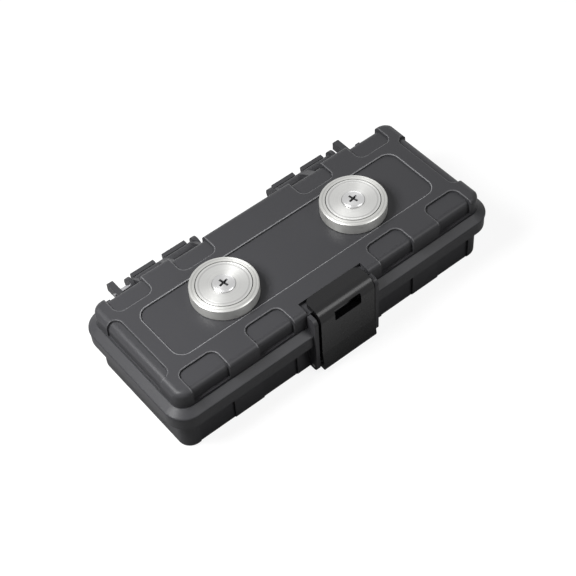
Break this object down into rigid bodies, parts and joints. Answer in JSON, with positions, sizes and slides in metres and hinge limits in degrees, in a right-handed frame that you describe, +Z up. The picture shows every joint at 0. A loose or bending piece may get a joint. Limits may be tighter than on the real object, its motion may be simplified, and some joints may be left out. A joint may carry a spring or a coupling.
{
  "type": "magnetic key box",
  "caption": "Small hinged plastic case with a front clip latch, recessed lid panels and pot magnets screwed to the lid, for holding keys against a steel surface.",
  "frame": {"origin": "middle of the base's flat bottom, halfway between the end walls and halfway between the front and rear walls", "axes": "+X along the length, -Y towards the front with the latch, +Z up from the base to the lid's magnets"},
  "size_m": [0.1466, 0.072, 0.0363],
  "materials": {
    "case_plastic": "fine satin moulded ABS, charcoal black",
    "latch_plastic": "glossy moulded acetal, near black",
    "seal_rubber": "soft silicone, black",
    "pin_steel": "drawn steel wire, plain",
    "cup_nickel": "pressed steel with satin nickel plate",
    "ring_nickel": "sintered magnet with nickel plate",
    "screw_steel": "zinc-plated steel"
  },
  "bodies": {
    "base": {"base_shell": "case_plastic", "rim_seal": "seal_rubber", "latch_pin": "pin_steel", "hinge_pin_left": "pin_steel", "hinge_pin_right": "pin_steel"},
    "lid": {"lid_shell": "case_plastic", "magnet_cup_left": "cup_nickel", "magnet_cup_right": "cup_nickel", "magnet_ring_left": "ring_nickel", "magnet_ring_right": "ring_nickel", "magnet_screw_left": "screw_steel", "magnet_screw_right": "screw_steel", "magnet_washer_left": "screw_steel", "magnet_washer_right": "screw_steel", "magnet_nut_left": "screw_steel", "magnet_nut_right": "screw_steel"},
    "latch": {"latch": "latch_plastic"}
  },
  "joints": [
    {"name": "lid_hinge", "type": "hinge", "parent": "base", "child": "lid", "pos_m": [0, 0.034, 0.0186], "axis": [-1, 0, 0], "range_deg": [0, 105]},
    {"name": "latch_hinge", "type": "hinge", "parent": "base", "child": "latch", "pos_m": [0, -0.0291, 0.0036], "axis": [1, 0, 0], "range_deg": [0, 95]}
  ]
}
